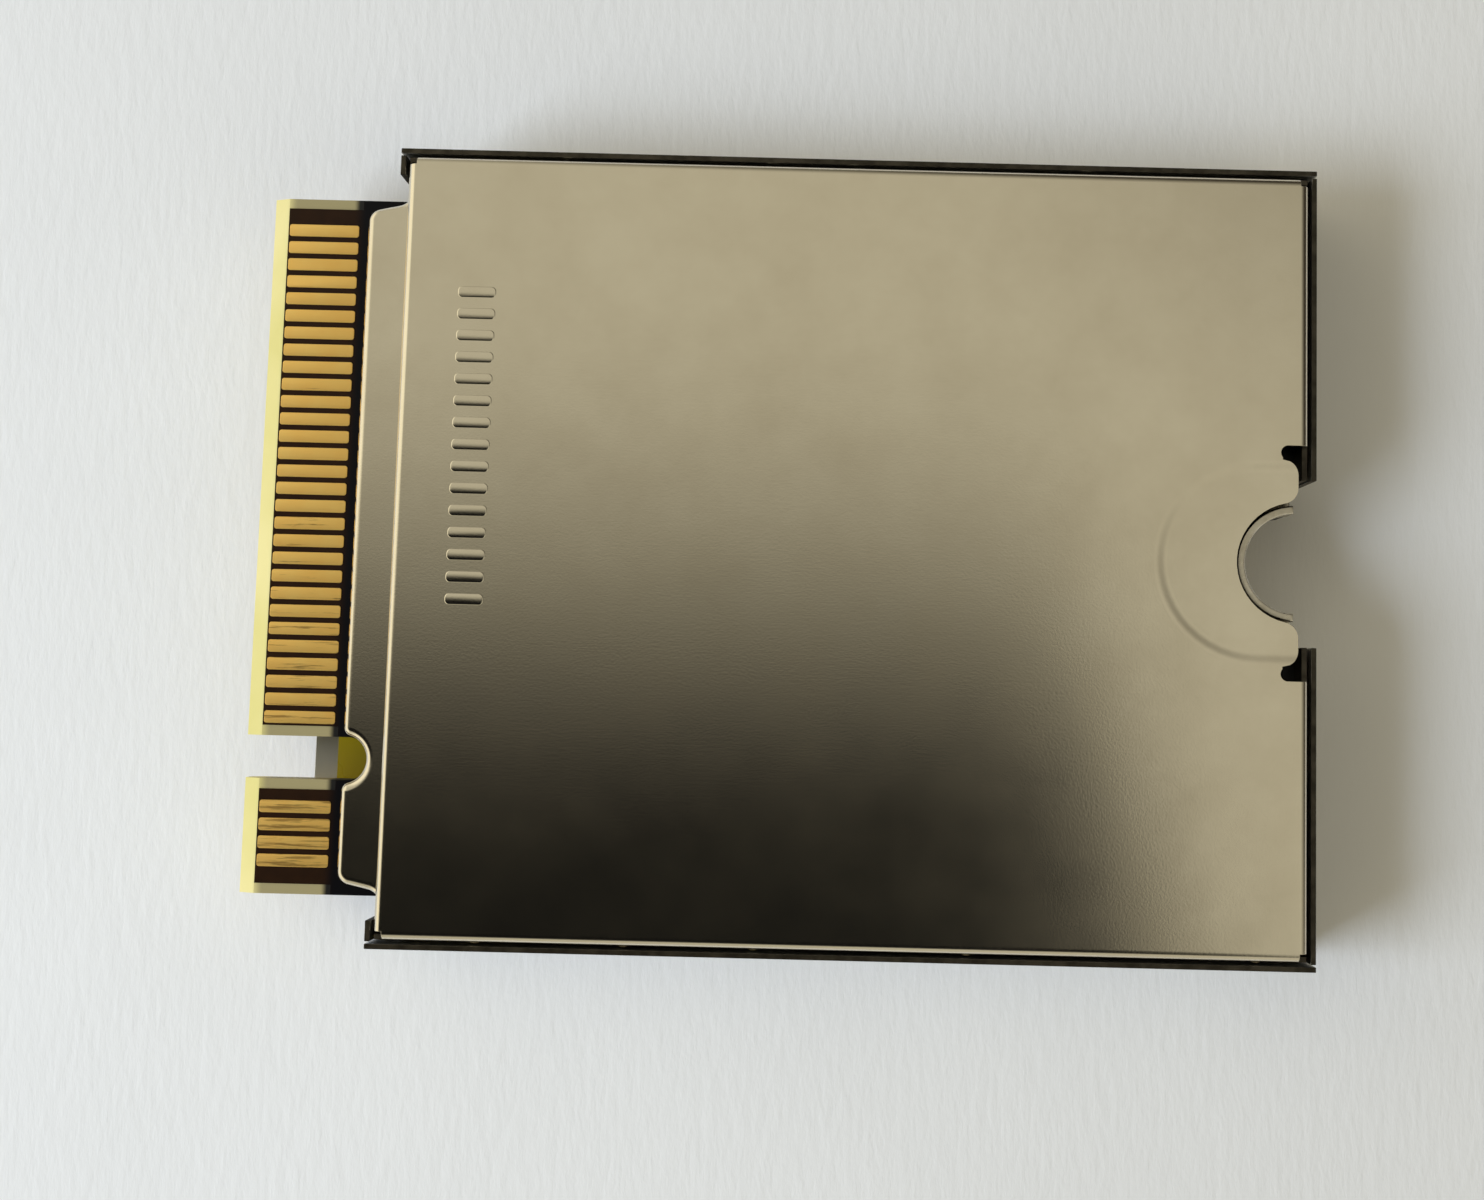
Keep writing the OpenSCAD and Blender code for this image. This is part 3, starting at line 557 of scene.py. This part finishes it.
# it leaves the tab's rim bare beside the contacts, and a square round the screw's seat
face_z, mask_t = 2.35, 0.02
bare, tab_half, key_half, key_run = 0.28, 9.92, 0.61, 0.3
mask_x, bare_l, neck_l, shoulder_w, main_l = 0.46, 2.14, 1.65, 0.83, 25
seat_l, seat_w = 2.6, 5.4
end_w = tab_half + shoulder_w - seat_w / 2
bm = bmesh.new()
outline, _, _ = walk(bm, (mask_x, bare - tab_half, face_z), 0, [
    ("run", bare_l), ("aim", -90), ("run", bare), ("aim", 0), ("run", neck_l),
    ("aim", -90), ("run", shoulder_w), ("aim", 0), ("run", main_l),
    ("aim", 90), ("run", end_w), ("aim", 180), ("run", seat_l), ("aim", 90), ("run", seat_w),
    ("aim", 0), ("run", seat_l), ("aim", 90), ("run", end_w),
    ("aim", 180), ("run", main_l), ("aim", -90), ("run", shoulder_w),
    ("aim", 180), ("run", neck_l), ("aim", -90), ("run", bare), ("aim", 180), ("run", bare_l),
    ("aim", -90), ("run", tab_half + key_y - key_half - 2 * bare), ("aim", 0), ("run", bare_l),
    ("aim", -90), ("run", bare), ("aim", 0), ("run", key_run), ("right", key_half, 180),
    ("run", key_run), ("aim", -90), ("run", bare), ("aim", 180), ("run", bare_l),
    ("aim", -90), ("run", tab_half - key_y - key_half - 2 * bare),
])
raised(bm, outline, mask_t)
coat = piece(bm, "upper_mask", mask)
coat.data.shade_flat()
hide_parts("upper_solder_mask")


# The edge contacts: copper strips plated with nickel and hard gold, 0.35 mm wide on a 0.5 mm pitch,
# with slightly rounded corners. Each mating leaves fine scratches along them.
gold, tree = blank("worn_hard_gold")
place = add(tree, "TexCoord").outputs["Object"]
axes = add(tree, "SeparateXYZ", {0: place})
# scratches 0.1 mm apart and 1.5 mm long, drawn coarser than real ones so that they show
scratch = add(tree, "Mapping", {0: place, 3: (620, 9500, 1)})
scratch = add(tree, "TexNoise", {0: scratch.outputs[0], "Scale": 1, "Detail": 4, "Roughness": 0.65})
used = add(tree, "MapRange", {0: axes.outputs[1], 1: 4 * mm, 2: -7 * mm, 3: 0.68, 4: 0.5})
worn = add(tree, "Math", {0: scratch.outputs[0], 1: used.outputs[0]}, operation="SUBTRACT")
worn = add(tree, "MapRange", {0: worn.outputs[0], 1: 0, 2: 0.1, 3: 0, 4: 0.6})
cloud = add(tree, "TexNoise", {0: place, "Scale": 1500, "Detail": 3})
fresh = add(tree, "Mix", {0: cloud.outputs[0], 6: linear("#FFD87C"), 7: linear("#FDC664")},
            data_type="RGBA")
tone = add(tree, "Mix", {0: worn.outputs[0], 6: fresh.outputs[2], 7: linear("#6B4318")},
           data_type="RGBA")
scored = add(tree, "Bump", {"Strength": 0.4, "Distance": 0.006 * mm, "Height": scratch.outputs[0]})
plating = add(tree, "BsdfPrincipled", {"Base Color": tone.outputs[2], "Metallic": 0.7,
                                       "Roughness": 0.45, "Normal": scored.outputs[0]})
add(tree, "OutputMaterial", {0: plating.outputs[0]})
back_z, pitch, contact_x, contact_size, contact_t = 1.55, 0.5, 1.5, (2, 0.35), 0.04
key_rows = range(29, 33)
for name, first_y, rows, z, proud in (("upper_contacts", 9.0, 37, face_z, contact_t),
                                      ("lower_contacts", 9.25, 38, back_z, -contact_t)):
    bm = bmesh.new()
    pads(bm, [(contact_x, first_y - pitch * k) for k in range(rows) if k not in key_rows],
         contact_size, z, proud, 0.012, 0.07)
    row = piece(bm, name.replace("contacts", "contact_row"), gold)
    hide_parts(name)


# The polyimide film that lines the tray's floor and keeps it off the card: amber, smooth and thin.
# Over the dull metal it looks olive in the key notch.
film = finish("amber_polyimide_film", "#9A8614", "#857010", 0.2, 0.6, 0.004)
dress("insulating_film", film)


# The screw's seat: a tinned land on each face of the card, and a turned spacer that fills the room
# up to the dished ear. Its collar stands a little inside the edge of the cover's notch.
seat_metal = finish("turned_tinned_brass", "#D8D2C4", "#C6BEAD", 0.24, 0.08, 0.003, metallic=1.0)
land_metal = finish("tinned_copper_land", "#D4D0C8", "#BDB6A8", 0.3, 0.15, 0.003, metallic=1.0)
dress("screw_land", land_metal)
dress("lower_screw_seat", seat_metal)
seat_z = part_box("upper_screw_seat")[0].z / mm
bore_r, collar_r, flange_r, collar_z, flange_z, chamfer = 1.4, 1.64, 2.45, 3.06, 2.7, 0.04
half_turn = 88
profile = [(bore_r, seat_z), (bore_r, collar_z - chamfer), (bore_r + chamfer, collar_z),
           (collar_r - chamfer, collar_z), (collar_r, collar_z - chamfer), (collar_r, flange_z),
           (flange_r, flange_z), (flange_r, seat_z)]
bm = bmesh.new()
points = [bm.verts.new((notch_x - r, 0, z)) for r, z in profile]
edges = [bm.edges.new(pair) for pair in zip(points, points[1:] + points[:1])]
start = bmesh.ops.contextual_create(bm, geom=edges)["faces"]
bmesh.ops.rotate(bm, verts=points, cent=(notch_x, 0, 0),
                 matrix=Matrix.Rotation(radians(-half_turn), 3, "Z"))
bmesh.ops.spin(bm, geom=start, cent=(notch_x, 0, 0), axis=(0, 0, 1),
               angle=radians(2 * half_turn), steps=56)
spacer = piece(bm, "screw_spacer", seat_metal)
turned = spacer.modifiers.new("turned_edge", "BEVEL")
turned.width, turned.segments, turned.angle_limit = 0.012 * mm, 2, radians(40)
spacer.modifiers.new("flat", "WEIGHTED_NORMAL").keep_sharp = True
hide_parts("upper_screw_seat")


# What the shell hides: packages of black moulding compound on tin balls, gap pads that lead their
# heat to the metal, and the small parts of the power supply.
compound = finish("black_moulding_compound", "#27292C", "#1F2124", 0.55, 0.05, 0.006)
solder = finish("tin_silver_solder", "#C9CCD0", "#B4B7BC", 0.25, 0.06, 0.002, metallic=1.0)
pad = finish("silicone_gap_pad", "#D9A9B0", "#CFA0A8", 0.7, 0.12, 0.008)
ferrite = finish("pressed_ferrite", "#4A4A4C", "#3E3E40", 0.6, 0.06, 0.006)
tantalum = finish("orange_cast_epoxy", "#C77A2B", "#B96F24", 0.45, 0.08, 0.004)
can = finish("seam_welded_can", "#CFCBC2", "#BEBAB0", 0.22, 0.1, 0.002, metallic=1.0)
fuse = finish("green_glass_ceramic", "#4E8A63", "#43795A", 0.35, 0.06, 0.003)
ceramic = finish("fired_barium_ceramic", "#B99C74", "#A98D66", 0.5, 0.04, 0.003)
resistor = finish("resistor_glaze", "#1B1B1D", "#141416", 0.3, 0.04, 0.002)
for names, made in ((("controller_chip", "flash_package", "power_chip", "boot_memory_chip",
                      "load_switch_chip"), compound),
                    (("controller_balls", "flash_balls"), solder),
                    (("controller_pad", "flash_pad", "power_chip_pad"), pad),
                    (("power_inductors",), ferrite), (("bulk_capacitors",), tantalum),
                    (("crystal",), can), (("input_fuse",), fuse),
                    (("small_capacitors",), ceramic), (("small_resistors",), resistor)):
    for name in names:
        dress(name, made)
